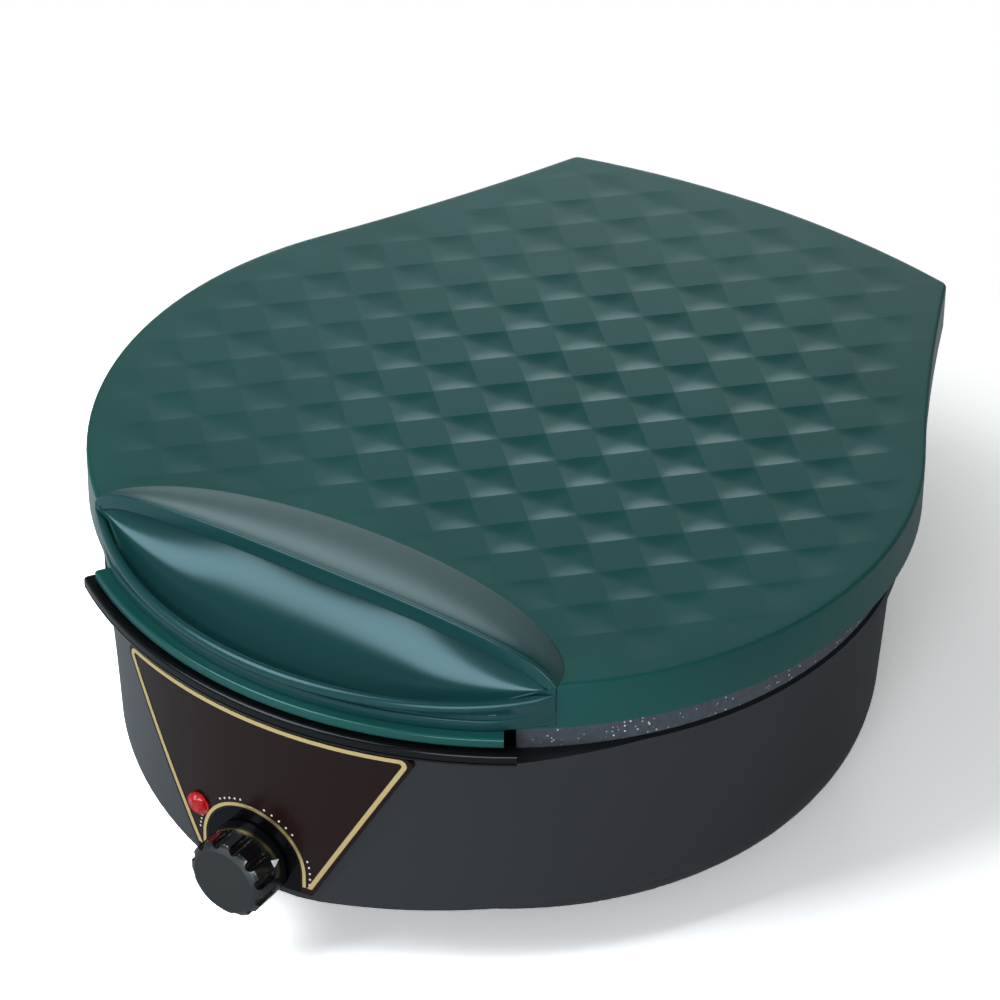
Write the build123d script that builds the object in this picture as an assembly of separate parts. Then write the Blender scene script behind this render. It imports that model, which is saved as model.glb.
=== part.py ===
from build123d import *
import math
import os

os.makedirs("parts", exist_ok=True)

# Double-sided electric baking pan with a floating hinge. All sizes are in millimetres.
# The pieces are laid out about the pan's axis: +X right, -Y front, +Z up, floor at z = 0.
# Each piece is then moved along Y so that the origin is the centre of the footprint.

# Clearances
seat_clear = 0.15
shaft_clear = 0.05
part_gap = 0.5

# Lid cover: plan outline and wall
lid_radius = 165.0
lid_flank_angle = 28.5
lid_corner_x = 91.0
lid_corner_behind = 29.0
lid_rear_behind = 40.5
lid_corner_round = 5.0
lid_wall = 2.5
lid_skirt = 19.6
lid_crease_round = 1.2
lid_boss_radius = 4.0
lid_boss_inset = 10.0
lid_boss_angles = (15, 165, -38, 218)
lid_rear_boss_x = 74.0
lid_rear_boss_behind = 16.0
lid_boss_hole = 9.0

# Handle insert: hood, finger pocket and rolled rim
hood_half_width = 103.5
hood_front_inset = 33.5
hood_back_inset = 79.0
hood_end_proud = 1.17
hood_rise = 14.0
hood_strip = 6.6
hood_under_inset = 48.0
hood_steps = 14
hood_reach = 0.97
hood_shoulder = 0.62
hood_strip_share = 0.6
rim_front_proud = 6.6
rim_drop = 6.5
rim_width = 5.6
rim_round = 1.6
pocket_wall = 2.2
pocket_gap = 0.3
pocket_end_land = 6.0
pocket_turn = 14.0
pocket_round = 6.0
pocket_end_round = 9.0

# Front lip of the lid
lip_proud = 7.4
lip_thickness = 4.5
lip_half_angle = 33.0
tier_proud = 3.0
tier_thickness = 4.7
lip_gap = 0.8
lip_edge_round = 1.2

# Base shell: bowl, front prow with its ledge, rear hinge housing
foot_height = 5.0
shell_height = 99.4
shell_wall = 3.0
rim_lip_inset = 6.5
rim_lip_height = 4.4
bowl_top_inset = 3.0
bowl_taper = 3.5
bowl_turn_height = 33.0
bowl_turn_inset = 30.0
ledge_rise = 5.9
ledge_thickness = 5.7
ledge_proud = 10.4
ledge_half_angle = 34.6
ledge_edge_round = 1.5
ledge_root = 5.0
ledge_web = 2.5
ledge_groove_up = 1.7
ledge_groove = 0.5
ledge_groove_depth = 0.6
prow_front_inset = 3.0
prow_top_half = 69.0
prow_low_half = 28.0
prow_low_height = 26.0
prow_run_on = 10.0
prow_keel_half = 20.0
prow_keel_reach = 16.0
prow_keel_height = 7.0
prow_keel_swell = 12.0
prow_draft = 0.7
prow_leave_angle = 75.0
front_hole_depth = 20.0

# Hinge housing behind the bowl
housing_half_width = 66.0
housing_behind = 3.0
housing_height = 96.0
housing_corner_round = 8.0
slot_depth = 5.0

# Bottom cover, feet and their screws
cover_inset = 2.0
cover_thickness = 2.0
opening_rim = 6.0
vent_length = 34.0
vent_width = 4.0
vent_count = 8
vent_ring_radius = 55.0
foot_radius = 9.0
foot_inset = 14.0
foot_angles = (-48, 228)
rear_foot_x = 46.0
rear_foot_inset = 17.0
foot_chamfer = 1.0
cover_boss_radius = 4.5
cover_boss_height = 9.0
cover_boss_inset = 3.2
cover_boss_angles = (20, 75, 105, 160, 200, 270, 340)

# Screws
screw_radius = 1.4
screw_head_radius = 2.8
screw_head = 1.8
screw_hole_clear = 0.2

# Lower pan
pan_inset = 19.0
pan_wall = 3.5
pan_floor = 5.0
pan_depth = 30.5
pan_flange_out = 11.5
pan_flange_height = 12.5
pan_corner_round = 6.0
pan_rim_round = 1.5
flange_gap = 1.6
boss_ring_depth = 5.0
boss_ring_half = 6.0

# Heating elements, one ring under the pan and one on the upper plate
element_radius = 3.3
lower_ring_radius = 95.0
upper_ring_radius = 85.0
element_open_angle = 24.0
element_post_radius = 3.3
element_post = 14.0
post_clear = 1.5

# Reflectors, tie rods and temperature cut-outs
reflector_sheet = 0.8
reflector_inset = 14.0
reflector_rim = 10.0
reflector_drop = 20.0
tie_rod_radius = 3.5
tie_rod_ring_radius = 60.0
tie_rod_angles = (30, 150, 270)
tie_rod_clear = 0.2
cutout_radius = 8.0
cutout_height = 7.0
cutout_x = 45.0

# Upper plate and the frame that carries it
plate_inset = 5.0
plate_floor = 5.0
plate_wall = 3.5
plate_drop = 14.5
plate_lug_radius = 4.5
plate_lug_inset = 7.0
plate_lug_hole = 8.0
plate_boss_radius = 4.0
plate_boss_ring_radius = 112.0
plate_boss_angles = (60, 180, 300)
plate_boss_height = 10.0
plate_screw_angles = (45, 135, 225, 315)
frame_gap = 2.5
frame_lap = 7.0
frame_thickness = 2.0
frame_recess = 0.6
plate_edge_round = 2.0
plate_screw_length = 8.0
upper_reflector_inset = 13.0

# Hinge: bracket on the lid, pin, and carriage that slides on two rods
hinge_behind = 9.0
hinge_drop = 11.0
pin_radius = 3.5
pin_half_length = 51.0
knuckle_radius = 7.5
ear_thickness = 3.0
ear_neck = 6.0
ear_gap = 0.6
bracket_thickness = 2.5
bracket_half_width = 56.0
bracket_reach = 14.0
bracket_screw_x = (18.0, 32.0)
bracket_screw_inset = 6.0
lug_inner_x = 38.0
lug_thickness = 6.0
clip_radius = 6.0
clip_thickness = 1.0
clip_gap = 0.4
lug_setback = 1.5
block_ahead = 15.5
block_height = 15.0
block_low_z = 55.0
rod_radius = 4.0
rod_x = 22.0
rod_ahead = 8.0
bush_radius = 6.5
stop_wall = 2.6
stop_clear = 0.2
stop_gap = 0.3
bracket_screw_length = 5.5

# Rear cover with the cord grommet
rear_cover_half_width = 58.0
rear_cover_low_z = 10.0
rear_cover_top_z = 70.0
rear_cover_thickness = 2.5
rear_cover_lap = 4.0
rear_cover_round = 6.0
rear_screw_inset_x = 2.2
rear_screw_inset_z = 12.0
grommet_x = -36.0
grommet_z = 26.0
grommet_radius = 7.0
grommet_flange_radius = 9.5
grommet_flange = 3.0
grommet_bore = 4.0
grommet_inner = 3.0
grommet_inner_lip = 1.5

# Control panel, dial, lamp and knob
panel_thickness = 2.0
panel_top_half = 67.0
panel_low_half = 26.2
panel_top_gap = 0.3
panel_low_z = 34.4
trim_inset = 1.4
trim_top_inset = 0.3
trim_low_gap = 3.4
trim_width = 1.8
trim_outer_round = 3.0
trim_inner_round = 1.2
trim_height = 0.25
dial_z = 43.5
arch_radius = 21.5
arch_line = 1.0
arch_line_width = 1.4
lamp_x = -25.5
lamp_z = 57.0
lens_radius = 4.3
lens_flange_radius = 4.9
lens_flange = 0.6
lens_dome = 1.8
lens_seat = 0.75
lens_tip_radius = 2.2
lens_wall = 2.0
lens_back = 6.0
lamp_body_radius = 3.4
lamp_body_length = 18.0
knob_radius = 16.4
knob_face_radius = 13.4
knob_depth = 18.0
knob_gap = 0.8
flute_count = 12
flute_radius = 2.2
flute_depth = 2.0
flute_length = 11.5
knob_nose = 2.4
pointer_width = 3.0
pointer_length = 3.5
pointer_height = 0.4
pointer_setback = 2.5
pointer_angle = 27.0
spindle_radius = 3.0
spindle_socket = 12.0
thermostat_width = 30.0
thermostat_height = 16.0
thermostat_depth = 20.0
bracket_plate_half = 17.5
bracket_plate = 1.5
bracket_plate_top = 14.0
tab_half = 4.0
tab_length = 5.0
tab_low = 4.0
tab_high = 10.0
spindle_inset = 6.0

# Terminal block and wiring
block_length = 30.0
block_width = 14.0
block_tall = 12.0
terminal_x = -36.0
terminal_inset = 28.0
terminal_hole = 2.2
terminal_hole_depth = 4.0
lead_radius = 1.3
lead_low_z = 28.0
lead_high_z = 36.0
lead_turn_z = 44.0
lead_tab_x = 2.2
lead_tab_run = 18.0
lead_bend = 0.45

# Places worked out from the lid's circle
tall = 2.5 * lid_radius
lid_corner_y = lid_radius + lid_corner_behind
lid_rear_y = lid_radius + lid_rear_behind
lid_boss_ring_radius = lid_radius - lid_boss_inset
lid_rear_boss_y = lid_radius + lid_rear_boss_behind
hood_front_y = hood_front_inset - lid_radius
hood_back_y = hood_back_inset - lid_radius
hood_under_y = hood_under_inset - lid_radius
hood_end_y = -math.sqrt((lid_radius + hood_end_proud) ** 2 - hood_half_width**2)
rim_front_y = -(lid_radius + rim_front_proud)
lip_radius = lid_radius + lip_proud
tier_radius = lid_radius + tier_proud
rim_lip_radius = lid_radius - rim_lip_inset
bowl_top_radius = rim_lip_radius - bowl_top_inset
bowl_low_radius = bowl_top_radius - bowl_taper
bowl_bottom_radius = bowl_low_radius - bowl_turn_inset
ledge_radius = lid_radius + ledge_proud
prow_front_y = prow_front_inset - ledge_radius
prow_bow = -prow_front_y
prow_keel_y = -(bowl_bottom_radius + prow_keel_reach)
cover_radius = bowl_bottom_radius - cover_inset
terminal_y = cover_radius - terminal_inset
foot_ring_radius = cover_radius - foot_inset
cover_boss_ring_radius = cover_radius - cover_boss_inset
pan_radius = lid_radius - pan_inset
pan_flange_radius = pan_radius + pan_flange_out
reflector_radius = pan_radius - reflector_inset
plate_radius = pan_radius - plate_inset
plate_screw_ring_radius = plate_radius - plate_lug_inset
upper_reflector_radius = plate_radius - upper_reflector_inset
hinge_y = lid_radius + hinge_behind
housing_rear_y = hinge_y + housing_behind
rear_foot_y = housing_rear_y - rear_foot_inset
bracket_front_y = hinge_y - bracket_reach
bracket_rear_y = hinge_y + bracket_reach
bracket_screw_y = hinge_y - bracket_screw_inset
block_front_y = hinge_y - block_ahead
rod_y = hinge_y - rod_ahead

# Heights worked out from the floor up
shell_low_z = foot_height
shell_top_z = shell_low_z + shell_height
pan_seat_z = shell_top_z + flange_gap
pan_top_z = pan_seat_z + pan_flange_height
frame_low_z = pan_top_z + frame_gap
frame_top_z = frame_low_z + frame_thickness
skirt_low_z = frame_low_z - frame_recess
crease_z = skirt_low_z + lid_skirt
rim_z = crease_z - rim_drop
pocket_z = frame_top_z + pocket_gap + pocket_wall
ledge_low_z = shell_top_z + ledge_rise
ledge_top_z = ledge_low_z + ledge_thickness
lip_low_z = ledge_top_z + lip_gap
tier_low_z = lip_low_z + lip_thickness
tier_top_z = tier_low_z + tier_thickness
pan_floor_z = pan_top_z - pan_depth
pan_under_z = pan_floor_z - pan_floor
plate_face_z = pan_top_z - plate_drop
plate_top_z = plate_face_z + plate_floor
hinge_z = frame_low_z - hinge_drop
bracket_low_z = frame_low_z - bracket_thickness
housing_top_z = shell_low_z + housing_height
cover_top_z = shell_low_z + cover_thickness
reflector_z = pan_under_z - reflector_drop
upper_reflector_z = plate_top_z + plate_boss_height
panel_top_z = ledge_low_z - panel_top_gap
panel_face_y = prow_front_y - panel_thickness
knob_back_y = panel_face_y - knob_gap
knob_face_y = knob_back_y - knob_depth
shift_y = -(lid_rear_y + knob_face_y) / 2


def put(name, *solids):
    """Write one sub-part, moved into the frame whose origin is the footprint's centre."""
    group = Compound([Pos(0, shift_y, 0) * s for part in solids for s in part.solids()])
    print(name, len(group.solids()), round(group.volume))
    export_step(group, f"parts/{name}.step")


def rod(radius, low, high, x=0.0, y=0.0):
    """Upright round bar from one height to another."""
    return Pos(x, y, (low + high) / 2) * Cylinder(radius, high - low)


def tube(outer, inner, low, high, x=0.0, y=0.0):
    return rod(outer, low, high, x, y) - rod(inner, low - 1, high + 1, x, y)


def cross_rod(radius, left, right, y, z):
    """Round bar along X."""
    return Pos((left + right) / 2, y, z) * Rot(0, 90, 0) * Cylinder(radius, right - left)


def fore_rod(radius, front, back, x, z):
    """Round bar along Y."""
    return Pos(x, (front + back) / 2, z) * Rot(90, 0, 0) * Cylinder(radius, back - front)


def rims(solid, radius):
    """Round edges of a given radius."""
    return [e for e in solid.edges().filter_by(GeomType.CIRCLE) if abs(e.radius - radius) < 0.01]


def block(x0, x1, y0, y1, z0, z1):
    return Pos((x0 + x1) / 2, (y0 + y1) / 2, (z0 + z1) / 2) * Box(x1 - x0, y1 - y0, z1 - z0)


def polar(radius, angle):
    """Plan point at an angle from +X, in degrees."""
    return (radius * math.cos(math.radians(angle)), radius * math.sin(math.radians(angle)))


def turned(*points):
    """Solid of revolution from (radius, height) points."""
    outline = Polyline(*[(r, 0, z) for r, z in points], close=True)
    return revolve(make_face(outline), Axis.Z)


def raised(face, low, high):
    """Plan face pulled up from one height to another."""
    return Pos(0, 0, low) * extrude(face, high - low)


def front_sector(half_angle):
    """Tall wedge about the pan's axis that opens to the front."""
    reach = 2 * lid_radius
    side = reach * math.tan(math.radians(half_angle))
    return raised(make_face(Polyline((0, 0), (side, -reach), (-side, -reach), close=True)), 0, tall)


def screw(x, y, under_head, length, up=True):
    """Pan-head screw; its head is below the joint when it points up."""
    way = 1 if up else -1
    head = sorted((under_head, under_head - way * screw_head))
    shank = sorted((under_head, under_head + way * length))
    return rod(screw_head_radius, *head, x, y) + rod(screw_radius, *shank, x, y)


def leaving_arc(start, way, end):
    """Arc from a start point, leaving along a unit direction, to an end point."""
    chord_x, chord_y = end[0] - start[0], end[1] - start[1]
    chord = math.hypot(chord_x, chord_y)
    along = (way[0] * chord_x + way[1] * chord_y) / chord
    across = (way[1] * chord_x - way[0] * chord_y) / chord
    rise = chord / 2 * math.tan(math.atan2(across, along) / 2)
    middle_x = (start[0] + end[0]) / 2 - rise * chord_y / chord
    middle_y = (start[1] + end[1]) / 2 + rise * chord_x / chord
    return ThreePointArc(start, (middle_x, middle_y), end)


# Lid outline: a circle that runs out in slightly hollow flanks to a broad bowed rear edge
flank_start = polar(lid_radius, lid_flank_angle)
flank_way = (-math.sin(math.radians(lid_flank_angle)), math.cos(math.radians(lid_flank_angle)))
left_start = (-flank_start[0], flank_start[1])
right_corner = (lid_corner_x, lid_corner_y)
left_corner = (-lid_corner_x, lid_corner_y)
sharp_outline = make_face(
    [
        ThreePointArc(left_start, (0, -lid_radius), flank_start),
        leaving_arc(flank_start, flank_way, right_corner),
        ThreePointArc(right_corner, (0, lid_rear_y), left_corner),
        leaving_arc(left_start, (-flank_way[0], flank_way[1]), left_corner),
    ]
)


def inset(face, amount):
    return offset(face, -amount, kind=Kind.INTERSECTION)


def lid_plan(inward=0.0):
    """The lid's outline, drawn in by an amount, with its two rear corners rounded."""
    face = inset(sharp_outline, inward) if inward else sharp_outline
    corners = face.vertices().sort_by(Axis.Y)[-2:]
    return fillet(corners, max(lid_corner_round - inward, 1.0))


# Handle lens: the plan shape between the hood's back edge and the pocket's rolled rim
def lens(grow):
    left = (-hood_half_width - grow, hood_end_y)
    right = (hood_half_width + grow, hood_end_y)
    front = ThreePointArc(left, (0, rim_front_y - grow), right)
    back = ThreePointArc(right, (0, hood_back_y + grow), left)
    return make_face([front, back])


def pocket_face(grow):
    """Finger pocket in plan: the lens in front of a straight wall under the hood."""
    width = hood_half_width - rim_width - pocket_end_land + grow
    front_y = rim_front_y + rim_width - grow
    back_y = hood_under_y + grow
    left = (-width, hood_end_y)
    right = (width, hood_end_y)
    arc = ThreePointArc(left, (0, front_y), right)
    turn = width - pocket_turn
    wall = Polyline(right, (turn, back_y), (-turn, back_y), left)
    face = make_face([arc, wall])
    return fillet(face.vertices(), pocket_end_round)


def make_lid_cover():
    cover = raised(lid_plan(), skirt_low_z, crease_z)
    cover = fillet(cover.faces().sort_by(Axis.Z)[-1].edges(), lid_crease_round)
    cavity = raised(lid_plan(lid_wall), skirt_low_z - 1, crease_z - lid_wall)
    lip = tube(lip_radius, lid_radius - lid_wall, lip_low_z, tier_low_z)
    lip = fillet(rims(lip, lip_radius), lip_edge_round) & front_sector(lip_half_angle)
    cover = cover - cavity + lip
    cover -= raised(lens(seat_clear), tier_low_z, tall)
    for x, y in lid_boss_places:
        cover += rod(lid_boss_radius, frame_top_z, crease_z - lid_wall / 2, x, y)
        cover -= rod(screw_radius, frame_top_z - 1, frame_top_z + lid_boss_hole, x, y)
    return cover


def hood_section(x):
    """Cross-section of the hood: back edge, crest, foot of the front strip, inner foot."""
    share = abs(x) / hood_half_width
    rise = hood_rise * (1 - share**4)
    back_radius = (hood_half_width**2 + (hood_back_y - hood_end_y) ** 2) / (2 * (hood_back_y - hood_end_y))
    back = hood_back_y - back_radius + math.sqrt(back_radius**2 - x**2)
    front = hood_end_y + (hood_front_y - hood_end_y) * (1 - share**2)
    strip = min(hood_strip, hood_strip_share * rise)
    under = min(hood_under_y, (front + back) / 2)
    corners = [(back, 0), ((front + back) / 2, hood_shoulder * rise), (front, rise), (front, rise - strip), (under, 0)]
    return make_face(Polyline(*[(x, y, crease_z + z) for y, z in corners], close=True))


def make_handle_insert():
    """Hood, pocket and rolled rim moulded as one piece that drops into the lid's lens opening."""
    tier = tube(tier_radius, lid_radius - lid_wall, tier_low_z, tier_top_z) & raised(lens(0), 0, tall)
    wall = raised(lens(0), tier_top_z, rim_z)
    front = [e for e in wall.edges().group_by(Axis.Z)[-1] if e.center().Y < hood_end_y]
    wall = fillet(front, rim_round)
    behind = block(-2 * lid_radius, 2 * lid_radius, hood_front_y, 0, 0, tall)
    back = raised(lens(0), tier_top_z, crease_z) & behind
    bowl = raised(pocket_face(pocket_wall), pocket_z - pocket_wall, tier_top_z + 1)
    bowl = bowl & rod(tier_radius, 0, tall)
    turns = [180 * step / hood_steps for step in range(hood_steps + 1)]
    stations = [-hood_reach * hood_half_width * math.cos(math.radians(turn)) for turn in turns]
    hood = loft([hood_section(x) for x in stations], ruled=True)
    cut = raised(pocket_face(0), pocket_z, crease_z + 1)
    cut = fillet(cut.faces().sort_by(Axis.Z)[0].edges(), pocket_round)
    hollow = raised(inset(lens(0), lid_wall), tier_top_z - 1, crease_z - lid_wall)
    reach = block(-lid_radius, lid_radius, hood_under_y + pocket_wall, 0, 0, tall)
    return wall + tier + back + hood + bowl - cut - (hollow & reach)


def make_lid_frame():
    """Plate that closes the lid's underside round the upper plate."""
    frame = raised(lid_plan(lid_wall + seat_clear), frame_low_z, frame_top_z)
    frame -= rod(plate_radius - plate_wall - frame_lap, 0, tall)
    for x, y in lid_boss_places + plate_screw_places + bracket_screw_places:
        frame -= rod(screw_radius + screw_hole_clear, 0, tall, x, y)
    return frame


def make_upper_plate():
    plate = rod(plate_radius, plate_face_z, plate_top_z)
    plate = fillet(plate.edges().sort_by(Axis.Z)[0], plate_edge_round)
    plate += tube(plate_radius, plate_radius - plate_wall, plate_top_z, frame_low_z)
    inner = upper_ring_radius - boss_ring_half
    outer = upper_ring_radius + boss_ring_half
    plate += tube(outer, inner, plate_top_z, plate_top_z + boss_ring_depth)
    groove = Pos(0, 0, plate_top_z + boss_ring_depth) * Torus(upper_ring_radius, element_radius + shaft_clear)
    plate -= groove
    for angle in plate_boss_angles:
        plate += rod(plate_boss_radius, plate_top_z, upper_reflector_z, *polar(plate_boss_ring_radius, angle))
    for x, y in plate_screw_places:
        plate += rod(plate_lug_radius, plate_top_z, frame_low_z, x, y)
        plate -= rod(screw_radius, frame_low_z - plate_lug_hole, tall, x, y)
    return plate


def make_element(ring_radius, height, toward, way):
    """Tubular heater bent to an open ring, with an upright terminal post at each end."""
    ring = Pos(0, 0, height) * Torus(ring_radius, element_radius)
    reach = 2 * ring_radius
    side = reach * math.tan(math.radians(element_open_angle / 2))
    gap = make_face(Polyline((0, 0), (side, toward * reach), (-side, toward * reach), close=True))
    ring -= raised(gap, 0, tall)
    for place in element_posts(ring_radius, toward):
        low, high = sorted((height, height + way * element_post))
        ring += rod(element_post_radius, low, high, *place)
        ring += Pos(*place, height) * Sphere(element_radius)
    return ring


def element_posts(ring_radius, toward):
    half = element_open_angle / 2
    return [polar(ring_radius, toward * (90 + side * half)) for side in (-1, 1)]


def make_upper_reflector():
    sheet = rod(upper_reflector_radius, upper_reflector_z, upper_reflector_z + reflector_sheet)
    for x, y in element_posts(upper_ring_radius, 1):
        sheet -= rod(element_post_radius + post_clear, 0, tall, x, y)
    return sheet


def make_lid_bracket():
    """Steel plate under the lid's frame with the two ears that turn on the hinge pin."""
    plate = block(
        -bracket_half_width, bracket_half_width, bracket_front_y, bracket_rear_y, bracket_low_z, frame_low_z
    )
    inner = lug_inner_x + lug_thickness + ear_gap
    for side in (-1, 1):
        left, right = sorted((side * inner, side * (inner + ear_thickness)))
        plate += cross_rod(knuckle_radius, left, right, hinge_y, hinge_z)
        plate += block(left, right, hinge_y - ear_neck, hinge_y + ear_neck, hinge_z, frame_low_z)
    plate -= cross_rod(pin_radius + shaft_clear, -tall, tall, hinge_y, hinge_z)
    for x, y in bracket_screw_places:
        plate -= rod(screw_radius + screw_hole_clear, 0, tall, x, y)
    return plate


def make_carriage():
    """Sliding block with two lugs that hold the hinge pin; it floats up as the filling rises."""
    outer = lug_inner_x + lug_thickness
    rear = housing_rear_y - shell_wall - part_gap
    body = block(-outer, outer, block_front_y, rear, block_low_z, block_low_z + block_height)
    for side in (-1, 1):
        left, right = sorted((side * lug_inner_x, side * outer))
        body += block(left, right, block_front_y + lug_setback, rear - part_gap, block_low_z, hinge_z)
        body += cross_rod(knuckle_radius, left, right, hinge_y, hinge_z)
        body -= rod(bush_radius, block_low_z - 1, block_low_z + block_height + 1, side * rod_x, rod_y)
    return body - cross_rod(pin_radius, -tall, tall, hinge_y, hinge_z)


# Base shell
def bowl_profile(wall):
    """Bowl as a solid of revolution, drawn in by the wall's thickness."""
    low = shell_low_z + wall
    turn = shell_low_z + bowl_turn_height
    top = shell_top_z - rim_lip_height
    corner = (bowl_low_radius - wall, 0, turn)
    foot = (bowl_bottom_radius, 0, low)
    side = Line((bowl_top_radius - wall, 0, top), corner)
    curve = TangentArc(corner, foot, tangent=(corner[0] - bowl_top_radius + wall, 0, turn - top))
    rest = Polyline(foot, (0, 0, low), (0, 0, tall / 2), (bowl_top_radius - wall, 0, tall / 2))
    rise = Line((bowl_top_radius - wall, 0, tall / 2), (bowl_top_radius - wall, 0, top))
    return revolve(make_face([side, curve, rest, rise]), Axis.Z)


def prow_section(half, front_y, round_radius, z, wall, run_on):
    """Plan section of the prow: its flanks bulge in arcs that leave the round wall at a tangent.

    A run-on carries flanks and front past the bowed face, which is cut afterwards."""
    half -= wall * prow_draft
    front_y += wall
    round_radius -= wall
    bow = prow_bow - wall
    corner_y = front_y + bow - math.sqrt(bow**2 - half**2)
    turn = math.radians(prow_leave_angle)
    way_x, way_y = math.sin(turn), -math.cos(turn)
    along = half * way_x + corner_y * way_y
    past = (half**2 + corner_y**2 - round_radius**2) / (2 * (round_radius - along))
    flank = round_radius + past
    centre_x, centre_y = -past * way_x, -past * way_y
    leave = math.atan2(way_y, way_x)
    end = math.atan2(corner_y - centre_y, half - centre_x) - run_on / flank
    right = []
    for angle in (leave, (leave + end) / 2, end):
        right.append((centre_x + flank * math.cos(angle), centre_y + flank * math.sin(angle)))
    left = [(-x, y) for x, y in right]
    front = ThreePointArc(right[2], (0, front_y - run_on / 5), left[2])
    edges = [ThreePointArc(*right), front, ThreePointArc(*reversed(left)), Line(left[0], right[0])]
    return Pos(0, 0, z) * make_face(edges)


def make_prow(wall):
    """Wedge that swells the bowl's front out to the bowed control panel."""
    low = shell_low_z + prow_low_height + wall
    keel = shell_low_z + prow_keel_height + wall
    top_cut = prow_section(prow_top_half, prow_front_y, bowl_top_radius, ledge_low_z, wall, prow_run_on)
    low_cut = prow_section(prow_low_half, prow_front_y, bowl_low_radius, low, wall, prow_run_on)
    keel_cut = prow_section(prow_keel_half, prow_keel_y, bowl_bottom_radius + prow_keel_swell, keel, wall, 0)
    wedge = loft([low_cut, top_cut], ruled=True) + loft([keel_cut, low_cut], ruled=True)
    return wedge & rod(prow_bow - wall, 0, tall, 0, prow_front_y + prow_bow)


def make_housing(wall):
    """Box behind the bowl that the hinge carriage slides in."""
    half = housing_half_width - wall
    rear = housing_rear_y - wall
    box = block(-half, half, 0, rear, shell_low_z + wall, housing_top_z - wall)
    corners = [e for e in box.edges().filter_by(Axis.Z) if e.center().Y > 1]
    return fillet(corners, housing_corner_round - wall)


def make_base_shell():
    seat = rod(bowl_top_radius, shell_low_z, pan_seat_z)
    bowl = bowl_profile(0) & rod(lid_radius, 0, shell_top_z)
    bowl += seat & rod(lid_radius, shell_top_z - rim_lip_height, tall)
    bowl += rod(rim_lip_radius, shell_top_z - rim_lip_height, shell_top_z)
    ledge = tube(ledge_radius, rim_lip_radius - ledge_root, ledge_low_z, ledge_top_z)
    ledge = fillet(rims(ledge, ledge_radius), ledge_edge_round)
    groove_z = ledge_low_z + ledge_groove_up
    ledge -= tube(ledge_radius + 1, ledge_radius - ledge_groove_depth, groove_z, groove_z + ledge_groove)
    root = tube(rim_lip_radius + ledge_web, rim_lip_radius - ledge_root, shell_top_z - rim_lip_height, ledge_top_z)
    ledge = (ledge + root) & front_sector(ledge_half_angle)
    beside = rod(2 * lid_radius, shell_top_z - rim_lip_height, tall) - front_sector(ledge_half_angle)
    above = beside & rod(2 * lid_radius, shell_top_z, tall)
    outer = bowl + (make_prow(0) - above) + ledge + make_housing(0)
    prow_room = make_prow(shell_wall) - beside
    outer -= bowl_profile(shell_wall)
    outer -= prow_room
    outer -= make_housing(shell_wall)
    outer -= rod(pan_flange_radius + part_gap, pan_seat_z, tall)
    outer -= rod(cover_radius + seat_clear, shell_low_z - 1, cover_top_z)
    outer -= rod(cover_radius - opening_rim, 0, shell_low_z + 2 * shell_wall)
    for x, y in cover_boss_places:
        outer += rod(cover_boss_radius, cover_top_z, cover_top_z + cover_boss_height, x, y)
        outer -= rod(screw_radius, 0, cover_top_z + cover_boss_height - 1, x, y)
    slot_inner = lug_inner_x - part_gap
    slot_outer = lug_inner_x + lug_thickness + ear_gap + ear_thickness + 2 * part_gap
    for side in (-1, 1):
        left, right = sorted((side * slot_inner, side * slot_outer))
        outer -= block(left, right, block_front_y + 1, tall, housing_top_z - slot_depth, tall)
    cut_half = rear_cover_half_width - rear_cover_lap
    cut_low = rear_cover_low_z + rear_cover_lap
    cut_high = rear_cover_top_z - rear_cover_lap
    outer -= block(-cut_half, cut_half, housing_rear_y - shell_wall - 1, tall, cut_low, cut_high)
    outer -= fore_rod(spindle_radius + 2, -tall, prow_front_y + front_hole_depth, 0, dial_z)
    outer -= fore_rod(lens_radius + seat_clear, -tall, prow_front_y + front_hole_depth, lamp_x, lamp_z)
    for x, z in rear_screw_places:
        outer -= fore_rod(screw_radius, housing_rear_y - shell_wall - 1, tall, x, z)
    return outer


def make_lower_pan():
    outer = pan_radius + pan_wall
    pan = turned(
        (0, pan_under_z),
        (outer, pan_under_z),
        (outer, pan_seat_z),
        (pan_flange_radius, pan_seat_z),
        (pan_flange_radius, pan_top_z),
        (pan_radius, pan_top_z),
        (pan_radius, pan_floor_z),
        (0, pan_floor_z),
    )
    pan = fillet([e for e in rims(pan, pan_radius) if e.center().Z < pan_floor_z + 1], pan_corner_round)
    rim = [e for e in pan.edges().filter_by(GeomType.CIRCLE) if e.center().Z > pan_top_z - 0.01]
    pan = fillet(rim, pan_rim_round)
    ring_low = pan_under_z - boss_ring_depth
    inner = lower_ring_radius - boss_ring_half
    pan += tube(lower_ring_radius + boss_ring_half, inner, ring_low, pan_under_z)
    return pan - Pos(0, 0, ring_low) * Torus(lower_ring_radius, element_radius + shaft_clear)


def make_lower_reflector():
    inner = reflector_radius - reflector_sheet
    dish = rod(reflector_radius, reflector_z, reflector_z + reflector_rim)
    dish -= rod(inner, reflector_z + reflector_sheet, tall)
    for angle in tie_rod_angles:
        dish -= rod(tie_rod_radius + tie_rod_clear, 0, tall, *polar(tie_rod_ring_radius, angle))
    for x, y in element_posts(lower_ring_radius, -1):
        dish -= rod(element_post_radius + post_clear, 0, tall, x, y)
    return dish


def make_bottom_cover():
    cover = rod(cover_radius, shell_low_z, cover_top_z)
    for x, y in cover_boss_places:
        cover -= rod(screw_radius + screw_hole_clear, 0, tall, x, y)
    slot = raised(SlotOverall(vent_length, vent_width), 0, tall)
    for index in range(vent_count):
        turn = 360 / vent_count * (index + 0.5)
        cover -= Rot(0, 0, turn) * Pos(vent_ring_radius, 0, 0) * slot
    return cover


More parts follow.
